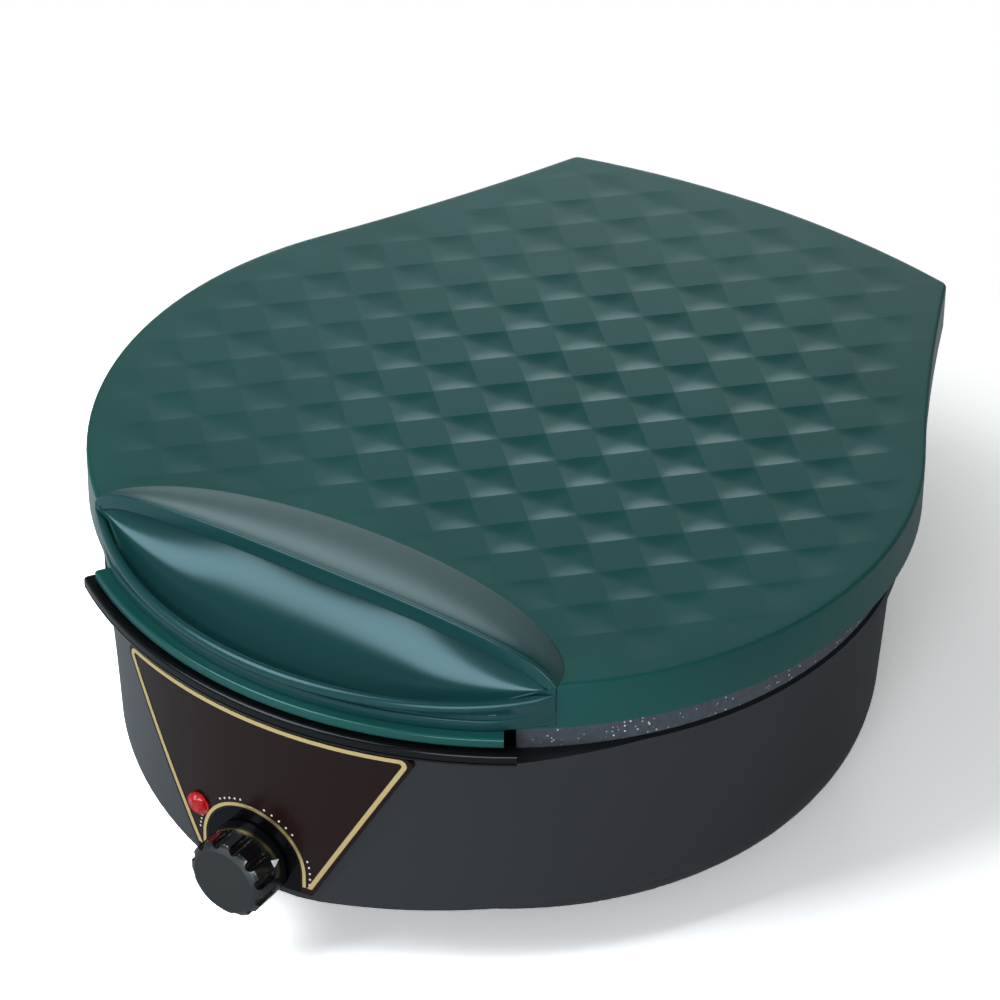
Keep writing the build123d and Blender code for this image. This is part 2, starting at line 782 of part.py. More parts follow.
def make_foot(x, y, root):
    """Round rubber foot, chamfered where it meets the worktop."""
    pad = rod(foot_radius, 0, root, x, y)
    return chamfer(pad.edges().sort_by(Axis.Z)[0], foot_chamfer)


# Control panel: everything on it is cut from rings about the bowed front's own centre
bow_centre_y = prow_front_y + prow_bow


def bowed(inner, outer):
    """Ring about the bow's centre, from one depth in front of the prow to another."""
    ring = tube(prow_bow + outer, prow_bow + inner, 0, tall, 0, bow_centre_y)
    return ring & block(-lid_radius, lid_radius, -tall, -lid_radius / 2, 0, tall)


def facing(face):
    """Face drawn in X and Z, pushed through the front as a prism."""
    return Pos(0, -lid_radius / 2, 0) * extrude(Plane.XZ * face, tall)


def trapezoid(amount, top_amount, corner_round):
    """Panel's outline drawn in at its sides and foot, and by another amount at its top."""
    slope = (panel_top_half - panel_low_half) / (panel_top_z - panel_low_z)
    side = amount * math.sqrt(1 + slope**2)
    low = panel_low_z + amount
    high = panel_top_z - top_amount
    low_half = panel_low_half + slope * amount - side
    high_half = panel_top_half - slope * top_amount - side
    corners = [(-high_half, high), (high_half, high), (low_half, low), (-low_half, low)]
    face = make_face(Polyline(*corners, close=True))
    return fillet(face.vertices().sort_by(Axis.Y)[-2:], corner_round)


def arch(radius):
    """Round-topped opening round the knob, open at the panel's foot."""
    low = panel_low_z - 1
    top = ThreePointArc((-radius, dial_z), (0, dial_z + radius), (radius, dial_z))
    legs = Polyline((radius, dial_z), (radius, low), (-radius, low), (-radius, dial_z))
    return make_face([top, legs])


def make_panel():
    plate = bowed(0, panel_thickness) & facing(trapezoid(0, 0, trim_outer_round))
    plate -= facing(arch(arch_radius))
    return plate - fore_rod(lens_radius + seat_clear, -tall, 0, lamp_x, lamp_z)


def make_dial_plate():
    floor = block(-lid_radius, lid_radius, -tall, 0, panel_low_z, tall)
    plate = bowed(0, panel_thickness) & facing(arch(arch_radius - seat_clear)) & floor
    return plate - fore_rod(spindle_radius + 1.5, -tall, 0, 0, dial_z)


def make_panel_trim():
    outer = trapezoid(trim_inset, trim_top_inset, trim_outer_round)
    line = outer - trapezoid(trim_inset + trim_width, trim_top_inset + trim_width, trim_inner_round)
    line -= arch(arch_radius + arch_line)
    hoop = (arch(arch_radius + arch_line + arch_line_width) - arch(arch_radius + arch_line)) & outer
    ends = block(-lid_radius, lid_radius, -tall, 0, panel_low_z + trim_low_gap, tall)
    return bowed(panel_thickness, panel_thickness + trim_height) & facing(line + hoop) & ends


def make_knob():
    body = fore_rod(knob_radius, knob_face_y + knob_nose, knob_back_y, 0, dial_z)
    nose = Cone(knob_radius, knob_face_radius, knob_nose)
    nose = Pos(0, knob_face_y + knob_nose / 2, dial_z) * Rot(90, 0, 0) * nose
    body += nose
    for index in range(flute_count):
        x, z = polar(knob_radius + flute_radius - flute_depth, 360 / flute_count * (index + 0.5))
        body -= fore_rod(flute_radius, knob_face_y - 1, knob_face_y + flute_length, x, dial_z + z)
    socket = knob_back_y - spindle_socket
    return body - fore_rod(spindle_radius, socket, tall, 0, dial_z)


def make_pointer():
    """Printed triangle on the knob's smooth band, with its tip towards the dial plate."""
    tip_y = knob_back_y - pointer_setback
    base_y = tip_y - pointer_length
    half = pointer_width / 2
    prism = raised(make_face(Polyline((0, tip_y), (half, base_y), (-half, base_y), close=True)), 0, knob_radius + 5)
    band = fore_rod(knob_radius + pointer_height, base_y - 1, tip_y + 1, 0, 0)
    band -= fore_rod(knob_radius, base_y - 2, tip_y + 2, 0, 0)
    return Pos(0, 0, dial_z) * Rot(0, 90 - pointer_angle, 0) * (prism & band)


thermostat_face_y = prow_front_y + shell_wall + bracket_plate_half**2 / (2 * (prow_bow - shell_wall)) + 0.05
thermostat_back_y = thermostat_face_y + bracket_plate + thermostat_depth


def make_spindle():
    return fore_rod(spindle_radius, knob_back_y - spindle_socket, thermostat_back_y - spindle_inset, 0, dial_z)


def make_thermostat():
    front = thermostat_face_y + bracket_plate
    half = thermostat_width / 2
    low = dial_z - thermostat_height / 2
    body = block(-half, half, front, thermostat_back_y, low, low + thermostat_height)
    tab_back = thermostat_back_y + tab_length
    body += block(-tab_half, tab_half, thermostat_back_y, tab_back, dial_z + tab_low, dial_z + tab_high)
    return body - fore_rod(spindle_radius + shaft_clear, -tall, thermostat_back_y - spindle_inset, 0, dial_z)


def make_thermostat_bracket():
    half = bracket_plate_half
    low = dial_z - thermostat_height / 2 + 0.5
    back = thermostat_face_y + bracket_plate
    plate = block(-half, half, thermostat_face_y, back, low, dial_z + bracket_plate_top)
    return plate - fore_rod(spindle_radius + 1, -tall, 0, 0, dial_z)


def make_lens():
    front = panel_face_y + bow_sag(lamp_x) - lens_seat
    barrel = fore_rod(lens_radius, front, prow_front_y + shell_wall + lens_back, lamp_x, lamp_z)
    flange = fore_rod(lens_flange_radius, front - lens_flange, front, lamp_x, lamp_z)
    dome = Pos(lamp_x, front - lens_flange - lens_dome / 2, lamp_z) * Rot(90, 0, 0)
    barrel += flange + dome * Cone(lens_flange_radius - 0.6, lens_tip_radius, lens_dome)
    return barrel - fore_rod(lamp_body_radius, front + lens_wall, tall, lamp_x, lamp_z)


def bow_sag(x):
    """How far the bowed front lies behind its middle at a given X."""
    return prow_bow - math.sqrt(prow_bow**2 - x**2)


def make_lamp():
    front = panel_face_y + bow_sag(lamp_x) - lens_seat + lens_wall
    return fore_rod(lamp_body_radius - 0.1, front, front + lamp_body_length, lamp_x, lamp_z)


def make_grommet():
    face = housing_rear_y + rear_cover_thickness
    neck = fore_rod(grommet_radius, housing_rear_y - grommet_inner, face, grommet_x, grommet_z)
    neck += fore_rod(grommet_flange_radius, face, face + grommet_flange, grommet_x, grommet_z)
    inner = fore_rod(grommet_radius + grommet_inner_lip, housing_rear_y - grommet_inner, housing_rear_y, grommet_x, grommet_z)
    return neck + inner - fore_rod(grommet_bore, 0, tall, grommet_x, grommet_z)


def make_rear_cover():
    face = housing_rear_y + rear_cover_thickness
    half = rear_cover_half_width
    cover = block(-half, half, housing_rear_y, face, rear_cover_low_z, rear_cover_top_z)
    cover = fillet(cover.edges().filter_by(Axis.Y), rear_cover_round)
    cover -= fore_rod(grommet_radius, 0, tall, grommet_x, grommet_z)
    for x, z in rear_screw_places:
        cover -= fore_rod(screw_radius + screw_hole_clear, 0, tall, x, z)
    return cover


def make_rear_screws():
    face = housing_rear_y + rear_cover_thickness
    made = []
    for x, z in rear_screw_places:
        head = fore_rod(screw_head_radius, face, face + screw_head, x, z)
        made.append(head + fore_rod(screw_radius, housing_rear_y - shell_wall, face, x, z))
    return made


def make_terminal_block():
    x0 = terminal_x - block_length / 2
    y0 = terminal_y - block_width / 2
    body = block(x0, x0 + block_length, y0, y0 + block_width, cover_top_z, cover_top_z + block_tall)
    for index in range(3):
        x = x0 + block_length * (index + 0.5) / 3
        body -= rod(terminal_hole, cover_top_z + block_tall - terminal_hole_depth, tall, x, terminal_y)
    return body


def wire(*points):
    """Insulated lead along straight runs joined by tangent arcs."""
    points = [Vector(*p) for p in points]
    bends = []
    for before, here, after in zip(points, points[1:], points[2:]):
        run = min((here - before).length, (after - here).length)
        turn = (here - before).get_angle(after - here)
        bends.append(lead_bend * run / math.tan(math.radians(turn / 2)))
    path = FilletPolyline(*points, radius=bends)
    section = Plane(points[0], z_dir=points[1] - points[0]) * Circle(lead_radius)
    return sweep(section, path=path)


def make_base_leads():
    """Leads from the terminal block to the thermostat, on to the heater and back to the block."""
    foot = cover_top_z + block_tall - terminal_hole_depth
    live_x = terminal_x - block_length / 3
    neutral_x = terminal_x + block_length / 3
    tab_y = thermostat_back_y + tab_length
    tab_z = dial_z + (tab_low + tab_high) / 2
    (left_x, post_y), (right_x, _) = sorted(element_posts(lower_ring_radius, -1))
    post_z = lower_element_z - element_post
    live = wire(
        (live_x, terminal_y, foot),
        (live_x, terminal_y, lead_low_z),
        (left_x / 2, post_y, lead_low_z),
        (-lead_tab_x, tab_y + lead_tab_run, tab_z),
        (-lead_tab_x, tab_y, tab_z),
    )
    switched = wire(
        (lead_tab_x, tab_y, tab_z),
        (lead_tab_x, tab_y + lead_tab_run, tab_z),
        (right_x, post_y, lead_turn_z),
        (right_x, post_y, post_z),
    )
    neutral = wire(
        (neutral_x, terminal_y, foot),
        (neutral_x, terminal_y, lead_high_z),
        (left_x, post_y, lead_high_z),
        (left_x, post_y, post_z),
    )
    return [live, switched, neutral]


# Fastener places
lid_boss_places = [polar(lid_boss_ring_radius, angle) for angle in lid_boss_angles]
lid_boss_places += [(side * lid_rear_boss_x, lid_rear_boss_y) for side in (-1, 1)]
plate_screw_places = [polar(plate_screw_ring_radius, angle) for angle in plate_screw_angles]
bracket_screw_places = [(side * x, bracket_screw_y) for x in bracket_screw_x for side in (-1, 1)]
cover_boss_places = [polar(cover_boss_ring_radius, angle) for angle in cover_boss_angles]
rear_screw_places = [
    (side * (rear_cover_half_width - rear_screw_inset_x), z)
    for side in (-1, 1)
    for z in (rear_cover_low_z + rear_screw_inset_z, rear_cover_top_z - rear_screw_inset_z)
]

# Lid
put("lid_cover", make_lid_cover())
put("handle_insert", make_handle_insert())
put("lid_frame", make_lid_frame())
put("upper_plate", make_upper_plate())
upper_element_z = plate_top_z + boss_ring_depth
put("upper_element", make_element(upper_ring_radius, upper_element_z, 1, 1))
put("upper_reflector", make_upper_reflector())
put("upper_cutout", rod(cutout_radius, plate_top_z, plate_top_z + cutout_height, cutout_x))
put("lid_bracket", make_lid_bracket())
lid_screws = [screw(x, y, frame_low_z, lid_boss_hole) for x, y in lid_boss_places]
put("lid_screws", *lid_screws)
put("plate_screws", *[screw(x, y, frame_top_z, plate_screw_length, up=False) for x, y in plate_screw_places])
put("bracket_screws", *[screw(x, y, bracket_low_z, bracket_screw_length) for x, y in bracket_screw_places])

# Floating hinge
put("hinge_carriage", make_carriage())
put("hinge_pin", cross_rod(pin_radius, -pin_half_length, pin_half_length, hinge_y, hinge_z))
clip_inner = lug_inner_x + lug_thickness + ear_gap + ear_thickness + clip_gap
clips = []
for side in (-1, 1):
    left, right = sorted((side * clip_inner, side * (clip_inner + clip_thickness)))
    ring = cross_rod(clip_radius, left, right, hinge_y, hinge_z)
    clips.append(ring - cross_rod(pin_radius, -tall, tall, hinge_y, hinge_z))
put("pin_clips", *clips)
bush_top = block_low_z + block_height
put("carriage_bushes", *[
    tube(bush_radius, rod_radius + shaft_clear, block_low_z, bush_top, side * rod_x, rod_y) for side in (-1, 1)
])

# Base
put("base_shell", make_base_shell())
put("bottom_cover", make_bottom_cover())
feet = [make_foot(*polar(foot_ring_radius, angle), shell_low_z) for angle in foot_angles]
feet += [make_foot(side * rear_foot_x, rear_foot_y, shell_low_z) for side in (-1, 1)]
put("rubber_feet", *feet)
put("bottom_screws", *[screw(x, y, shell_low_z, cover_boss_height) for x, y in cover_boss_places])
put("lower_pan", make_lower_pan())
lower_element_z = pan_under_z - boss_ring_depth
put("lower_element", make_element(lower_ring_radius, lower_element_z, -1, -1))
put("lower_reflector", make_lower_reflector())
put("lower_cutout", rod(cutout_radius, pan_under_z - cutout_height, pan_under_z, cutout_x))
tie_rods = [rod(tie_rod_radius, cover_top_z, pan_under_z, *polar(tie_rod_ring_radius, a)) for a in tie_rod_angles]
put("tie_rods", *tie_rods)
rod_low = shell_low_z + shell_wall
rod_high = housing_top_z - shell_wall
put("guide_rods", *[rod(rod_radius, rod_low, rod_high, side * rod_x, rod_y) for side in (-1, 1)])
stop_inner = rod_radius + stop_clear
stop_outer = stop_inner + stop_wall
put("lift_stops", *[
    tube(stop_outer, stop_inner, rod_low, block_low_z - stop_gap, side * rod_x, rod_y) for side in (-1, 1)
])
put("rear_cover", make_rear_cover())
put("rear_cover_screws", *make_rear_screws())
put("cord_grommet", make_grommet())
put("terminal_block", make_terminal_block())
put("base_leads", *make_base_leads())

# Front controls
put("control_panel", make_panel())
put("panel_trim", make_panel_trim())
put("dial_plate", make_dial_plate())
put("indicator_lens", make_lens())
put("indicator_lamp", make_lamp())
put("thermostat", make_thermostat())
put("thermostat_bracket", make_thermostat_bracket())
put("thermostat_spindle", make_spindle())
put("control_knob", make_knob())
put("knob_pointer", make_pointer())
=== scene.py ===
import math

import bmesh
import bpy
from mathutils import Matrix, Vector, kdtree


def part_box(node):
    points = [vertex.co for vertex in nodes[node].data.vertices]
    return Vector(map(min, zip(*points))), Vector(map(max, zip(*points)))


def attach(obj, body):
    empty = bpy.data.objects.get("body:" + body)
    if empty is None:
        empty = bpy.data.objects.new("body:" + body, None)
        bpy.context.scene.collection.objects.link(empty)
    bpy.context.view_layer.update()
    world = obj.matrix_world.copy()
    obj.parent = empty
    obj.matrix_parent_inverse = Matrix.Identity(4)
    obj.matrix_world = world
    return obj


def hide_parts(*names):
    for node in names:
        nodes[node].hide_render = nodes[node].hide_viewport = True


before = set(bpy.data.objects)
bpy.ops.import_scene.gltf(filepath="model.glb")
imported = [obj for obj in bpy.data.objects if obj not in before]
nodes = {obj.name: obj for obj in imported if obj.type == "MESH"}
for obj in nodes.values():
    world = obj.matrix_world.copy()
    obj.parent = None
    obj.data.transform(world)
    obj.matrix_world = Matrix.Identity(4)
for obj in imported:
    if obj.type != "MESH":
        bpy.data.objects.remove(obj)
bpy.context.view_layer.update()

# Camera
# It stands high and to the right of the front, at the photograph's viewing angle.
# Its long lens shows the pan with little perspective.
camera_place = (0.82728, -1.29122, 1.18307)
camera_right = Vector((0.8359923, 0.54863972, 0.01055134))
camera_up = Vector((-0.3230295, 0.47649214, 0.81768403))
camera_back = Vector((0.44358631, -0.68698595, 0.57557058))

camera_data = bpy.data.cameras.new("camera")
camera_data.lens = 169.06
camera_data.sensor_width = 36.0
camera_data.clip_start = 0.05
camera_data.clip_end = 30.0
camera = bpy.data.objects.new("camera", camera_data)
bpy.context.scene.collection.objects.link(camera)
camera_axes = Matrix((camera_right, camera_up, camera_back)).transposed()
camera.matrix_world = Matrix.Translation(camera_place) @ camera_axes.to_4x4()
bpy.context.scene.camera = camera
bpy.context.scene.view_settings.view_transform = "Standard"

# Studio floor
# Matt white paper, drawn brighter to the eye than the light that it throws back on the pan.
# Away from the pan it turns pure white to the eye, so only the shadow near the pan shows.
floor_half = 6.0
paper_to_eye = (2.75, 2.45, 2.32, 1.0)
paper_grain_size = 2.5
fade_start = 0.2
fade_end = 0.4


def linear(code):
    """Linear colour of an sRGB hex value."""
    channels = [int(code[start : start + 2], 16) / 255 for start in (1, 3, 5)]
    bright = [c / 12.92 if c <= 0.04045 else ((c + 0.055) / 1.055) ** 2.4 for c in channels]
    return (*bright, 1.0)


def add_node(material, kind, settings=None, links=None):
    """Add one node: settings set its sockets or its own fields, links join its sockets to other nodes.

    A socket goes by its name, or by its number where names repeat: a Mix node's two colours are 6 and 7.
    """
    node = material.node_tree.nodes.new(kind)
    for name, value in (settings or {}).items():
        if isinstance(name, int) or name in node.inputs:
            node.inputs[name].default_value = value
        else:
            setattr(node, name, value)
    for name, (source, output) in (links or {}).items():
        material.node_tree.links.new(source.outputs[output], node.inputs[name])
    return node


paper = bpy.data.materials.new("white_paper")
paper.use_nodes = True
paper.node_tree.nodes.clear()
paper_grain = add_node(paper, "ShaderNodeTexNoise", {"Scale": 1000 / paper_grain_size, "Detail": 3.0})
paper_bump = add_node(
    paper,
    "ShaderNodeBump",
    {"Strength": 0.02, "Distance": 0.0002},
    {"Height": (paper_grain, 0)},
)
paper_rays = add_node(paper, "ShaderNodeLightPath")
paper_shown = add_node(
    paper,
    "ShaderNodeMath",
    {"operation": "MAXIMUM"},
    {0: (paper_rays, "Is Camera Ray"), 1: (paper_rays, "Is Transmission Ray")},
)
paper_tone = add_node(
    paper,
    "ShaderNodeMix",
    {"data_type": "RGBA", 6: linear("#CFCFCF"), 7: paper_to_eye},
    {0: (paper_shown, 0)},
)
paper_face = add_node(
    paper,
    "ShaderNodeBsdfDiffuse",
    links={"Color": (paper_tone, 2), "Normal": (paper_bump, 0)},
)
paper_where = add_node(paper, "ShaderNodeTexCoord")
paper_away = add_node(paper, "ShaderNodeVectorMath", {"operation": "LENGTH"}, {0: (paper_where, "Object")})
paper_fade = add_node(
    paper,
    "ShaderNodeMapRange",
    {"interpolation_type": "SMOOTHSTEP", "From Min": fade_start, "From Max": fade_end},
    {"Value": (paper_away, "Value")},
)
paper_clear = add_node(
    paper,
    "ShaderNodeMath",
    {"operation": "MULTIPLY"},
    {0: (paper_fade, 0), 1: (paper_shown, 0)},
)
paper_white = add_node(paper, "ShaderNodeEmission", {"Color": (1, 1, 1, 1)})
paper_mix = add_node(
    paper,
    "ShaderNodeMixShader",
    links={0: (paper_clear, 0), 1: (paper_face, 0), 2: (paper_white, 0)},
)
add_node(paper, "ShaderNodeOutputMaterial", links={"Surface": (paper_mix, 0)})

floor_mesh = bpy.data.meshes.new("floor")
floor_bm = bmesh.new()
bmesh.ops.create_grid(floor_bm, x_segments=2, y_segments=2, size=floor_half)
floor_bm.to_mesh(floor_mesh)
floor_bm.free()
floor = bpy.data.objects.new("floor", floor_mesh)
floor_mesh.materials.append(paper)
bpy.context.scene.collection.objects.link(floor)

# Room
# Dark and a little lighter low down, with a soft pale window behind on the left.
# The lid and its hood mirror the window. The camera itself sees the room as pure white.
room_colour = (0.88, 1.0, 1.05, 1.0)
window_way = (-0.48, 0.81, 0.34)
window_edge = 0.968
window_strength = 2.2

room = bpy.data.worlds.new("room")
room.use_nodes = True
room.node_tree.nodes.clear()
room_way = add_node(room, "ShaderNodeTexCoord")
room_split = add_node(room, "ShaderNodeSeparateXYZ", links={"Vector": (room_way, "Generated")})
room_fall = add_node(
    room,
    "ShaderNodeMapRange",
    {"interpolation_type": "SMOOTHSTEP", "From Min": 0.3, "From Max": 0.66, "To Min": 0.42, "To Max": 0.1},
    {"Value": (room_split, "Z")},
)
room_aim = add_node(
    room,
    "ShaderNodeVectorMath",
    {"operation": "DOT_PRODUCT", 1: window_way},
    {0: (room_way, "Generated")},
)
room_window = add_node(
    room,
    "ShaderNodeMapRange",
    {"interpolation_type": "SMOOTHSTEP", "From Min": window_edge, "From Max": 1.0, "To Max": window_strength},
    {"Value": (room_aim, "Value")},
)
room_sum = add_node(room, "ShaderNodeMath", {"operation": "ADD"}, {0: (room_fall, 0), 1: (room_window, 0)})
room_rays = add_node(room, "ShaderNodeLightPath")
room_shade = add_node(room, "ShaderNodeBackground", {"Color": room_colour}, {"Strength": (room_sum, 0)})
room_white = add_node(room, "ShaderNodeBackground", {"Color": (1, 1, 1, 1)})
room_mix = add_node(
    room,
    "ShaderNodeMixShader",
    links={0: (room_rays, "Is Camera Ray"), 1: (room_shade, 0), 2: (room_white, 0)},
)
add_node(room, "ShaderNodeOutputWorld", links={"Surface": (room_mix, 0)})
bpy.context.scene.world = room

# Lamps
# One large soft lamp stands high at the front left, and a weaker one low at the front right.
# Both are slightly cool, aim at the pan's middle, and stay unseen by the camera.
lamp_colour = (0.85, 0.985, 1.07)
lamp_aim = Vector((0, 0, 0.08))
for lamp_name, lamp_place, lamp_width, lamp_height, lamp_power in (
    ("lamp_over", (-0.5, -0.72, 1.04), 0.7, 0.85, 13.5),
    ("lamp_front_right", (0.68, -1.25, 0.45), 0.7, 0.7, 9.0),
):
    lamp_data = bpy.data.lights.new(lamp_name, "AREA")
    lamp_data.shape = "RECTANGLE"
    lamp_data.size = lamp_width
    lamp_data.size_y = lamp_height
    lamp_data.energy = lamp_power
    lamp_data.color = lamp_colour
    lamp = bpy.data.objects.new(lamp_name, lamp_data)
    lamp.location = lamp_place
    lamp.rotation_euler = (lamp_aim - Vector(lamp_place)).to_track_quat("-Z", "Y").to_euler()
    lamp.visible_camera = False
    bpy.context.scene.collection.objects.link(lamp)

# Base shell
# Bowl, front prow, ledge and hinge housing are one moulding in black glass-filled polypropylene.
# The bowl has the fine satin grain of a spark-eroded mould; the ledge over the panel is polished. The ledge
# is also painted near black as painted shade, since the moulding has one colour throughout.
weld_distance = 0.000002
crisp_angle = math.radians(34)
round_angle = math.radians(38)
ledge_low_z = 0.1098
ledge_high_z = 0.1102


def start_finish(name, settings):
    """New material with one Principled shader on its output."""
    material = bpy.data.materials.new(name)
    material.use_nodes = True
    material.node_tree.nodes.clear()
    surface = add_node(material, "ShaderNodeBsdfPrincipled", settings)
    add_node(material, "ShaderNodeOutputMaterial", links={"Surface": (surface, 0)})
    return material, surface


def roughen(material, surface, wavelength, depth, stretch=(1, 1, 1)):
    """Fine relief from noise: its wavelength and depth are in millimetres."""
    where = add_node(material, "ShaderNodeTexCoord")
    turned = add_node(material, "ShaderNodeMapping", {"Scale": stretch}, {"Vector": (where, "Object")})
    noise = add_node(
        material,
        "ShaderNodeTexNoise",
        {"Scale": 1000 / wavelength, "Detail": 3.0},
        {"Vector": (turned, 0)},
    )
    bump = add_node(material, "ShaderNodeBump", {"Distance": depth / 1000}, {"Height": (noise, 0)})
    material.node_tree.links.new(bump.outputs[0], surface.inputs["Normal"])


def dress(name, material, rounding=0.0):
    """Put a material on a CAD node, weld it, and round its corners or keep them crisp. Rounding is in mm."""
    piece = nodes[name]
    piece.data.materials.clear()
    piece.data.materials.append(material)
    for face in piece.data.polygons:
        face.use_smooth = True
    weld = piece.modifiers.new("weld", "WELD")
    weld.merge_threshold = weld_distance
    if rounding:
        round_off = piece.modifiers.new("round_off", "BEVEL")
        round_off.width = rounding / 1000
        round_off.segments = 2
        round_off.limit_method = "ANGLE"
        round_off.angle_limit = round_angle
        piece.modifiers.new("level", "WEIGHTED_NORMAL").keep_sharp = True
    else:
        piece.modifiers.new("crisp", "EDGE_SPLIT").split_angle = crisp_angle


shell_black, shell_face = start_finish(
    "glass_filled_polypropylene", {"IOR": 1.49, "Specular IOR Level": 0.24}
)
roughen(shell_black, shell_face, wavelength=0.7, depth=0.012)
shell_where = add_node(shell_black, "ShaderNodeTexCoord")
shell_split = add_node(shell_black, "ShaderNodeSeparateXYZ", links={"Vector": (shell_where, "Object")})
shell_ledge = add_node(
    shell_black,
    "ShaderNodeMapRange",
    {"From Min": ledge_low_z, "From Max": ledge_high_z},
    {"Value": (shell_split, "Z")},
)
shell_polish = add_node(
    shell_black,
    "ShaderNodeMapRange",
    {"To Min": 0.42, "To Max": 0.18},
    {"Value": (shell_ledge, 0)},
)
# Painted shade: above the ledge's height the colour turns from the bowl's dark grey to near black, though it
# is the same plastic.
bowl_tone_and_ledge_shade = add_node(
    shell_black,
    "ShaderNodeMix",
    {"data_type": "RGBA", 6: linear("#323234"), 7: linear("#0A0A0B")},
    {0: (shell_ledge, 0)},
)
shell_black.node_tree.links.new(shell_polish.outputs[0], shell_face.inputs["Roughness"])
shell_black.node_tree.links.new(bowl_tone_and_ledge_shade.outputs[2], shell_face.inputs["Base Color"])
dress("base_shell", shell_black)

# Bottom cover, feet and screws
# The covers are black polypropylene with a matt back, held by bright, greyish zinc-plated pan-head screws.
# The feet and the cord's grommet are moulded nitrile rubber, dull and slightly dusty.
cover_black, cover_face = start_finish(
    "matt_polypropylene", {"Base Color": linear("#1B1B1D"), "Roughness": 0.6}
)
roughen(cover_black, cover_face, wavelength=0.9, depth=0.02)
dress("bottom_cover", cover_black)
dress("rear_cover", cover_black)

foot_rubber, foot_face = start_finish("nitrile_rubber", {"Base Color": linear("#202020"), "Roughness": 0.75})
roughen(foot_rubber, foot_face, wavelength=0.6, depth=0.02)
dress("rubber_feet", foot_rubber)
dress("cord_grommet", foot_rubber, rounding=0.5)

zinc_plate, zinc_face = start_finish(
    "zinc_plated_steel", {"Base Color": linear("#B4B4B2"), "Metallic": 1.0, "Roughness": 0.34}
)
roughen(zinc_plate, zinc_face, wavelength=0.8, depth=0.006)
for screws in ("bottom_screws", "rear_cover_screws", "lid_screws", "plate_screws", "bracket_screws"):
    dress(screws, zinc_plate, rounding=0.25)
for formed in (
    "tie_rods",
    "hinge_carriage",
    "lid_bracket",
    "pin_clips",
    "thermostat_bracket",
    "thermostat_spindle",
):
    dress(formed, zinc_plate, rounding=0.3)

# Lower pan and upper plate
# Both are die-cast aluminium under a dark grey non-stick coating, sprayed on with pale mineral specks.
# The specks are up to 0.9 mm across and lie in the film, which is mottled and satin.
# Sizes are in millimetres, but a speck's greatest radius is a share of the spacing.
speck_spacing = 1.5
speck_from = 0.45
speck_radius = 0.3
film_mottle = 2.2

stone_coat, stone_face = start_finish("speckled_non_stick", {"IOR": 1.5, "Roughness": 0.38})
stone_where = add_node(stone_coat, "ShaderNodeTexCoord")
stone_cells = add_node(
    stone_coat,
    "ShaderNodeTexVoronoi",
    {"Scale": 1000 / speck_spacing},
    {"Vector": (stone_where, "Object")},
)
stone_pick = add_node(stone_coat, "ShaderNodeSeparateColor", links={"Color": (stone_cells, "Color")})
stone_size = add_node(
    stone_coat,
    "ShaderNodeMapRange",
    {"From Min": speck_from, "From Max": 1.0, "To Min": 0.0, "To Max": speck_radius},
    {"Value": (stone_pick, 0)},
)
stone_speck = add_node(
    stone_coat,
    "ShaderNodeMath",
    {"operation": "LESS_THAN"},
    {0: (stone_cells, "Distance"), 1: (stone_size, 0)},
)
stone_cloud = add_node(
    stone_coat,
    "ShaderNodeTexNoise",
    {"Scale": 1000 / film_mottle, "Detail": 4.0},
    {"Vector": (stone_where, "Object")},
)
stone_film = add_node(
    stone_coat,
    "ShaderNodeMix",
    {"data_type": "RGBA", 6: linear("#2C2D32"), 7: linear("#55565E")},
    {0: (stone_cloud, 0)},
)
stone_bright = add_node(
    stone_coat,
    "ShaderNodeMix",
    {"data_type": "RGBA", 6: linear("#8F9097"), 7: linear("#F0F0F2")},
    {0: (stone_pick, 1)},
)
stone_all = add_node(
    stone_coat,
    "ShaderNodeMix",
    {"data_type": "RGBA"},
    {0: (stone_speck, 0), 6: (stone_film, 2), 7: (stone_bright, 2)},
)
stone_coat.node_tree.links.new(stone_all.outputs[2], stone_face.inputs["Base Color"])
stone_bump = add_node(stone_coat, "ShaderNodeBump", {"Distance": 0.00002}, {"Height": (stone_cloud, 0)})
stone_coat.node_tree.links.new(stone_bump.outputs[0], stone_face.inputs["Normal"])
dress("lower_pan", stone_coat)
dress("upper_plate", stone_coat)

# Heaters, reflectors and cut-outs
# The heaters are stainless tube, blued by heat; the reflectors are bright aluminised sheet, finely rolled.
# The cut-outs are pressed aluminium cans that sit on the castings.
heater_tube, heater_face = start_finish(
    "blued_stainless_tube", {"Base Color": linear("#7A7068"), "Metallic": 1.0, "Roughness": 0.42}
)
roughen(heater_tube, heater_face, wavelength=1.2, depth=0.01)
dress("lower_element", heater_tube)
dress("upper_element", heater_tube)

bright_sheet, sheet_face = start_finish(
    "aluminised_sheet", {"Base Color": linear("#C9CBCD"), "Metallic": 1.0, "Roughness": 0.3}
)
roughen(bright_sheet, sheet_face, wavelength=3.0, depth=0.02, stretch=(1, 6, 1))
for pressed in ("lower_reflector", "upper_reflector", "lower_cutout", "upper_cutout"):
    dress(pressed, bright_sheet)

# Floating hinge
# The carriage rides on two ground steel rods through nylon bushes, so the lid can rise as the filling does.
# The pin is ground steel too, nearly a mirror; bushes and stops are natural nylon, waxy and slightly yellow.
ground_rod, rod_face = start_finish(
    "ground_steel", {"Base Color": linear("#C4C6C8"), "Metallic": 1.0, "Roughness": 0.18}
)
roughen(ground_rod, rod_face, wavelength=0.6, depth=0.003, stretch=(1, 1, 8))
dress("guide_rods", ground_rod)
dress("hinge_pin", ground_rod, rounding=0.4)

nylon_natural, nylon_face = start_finish(
    "natural_nylon", {"Base Color": linear("#E4DFCF"), "Roughness": 0.45, "Subsurface Weight": 0.1}
)
roughen(nylon_natural, nylon_face, wavelength=1.5, depth=0.01)
dress("carriage_bushes", nylon_natural)
dress("lift_stops", nylon_natural)

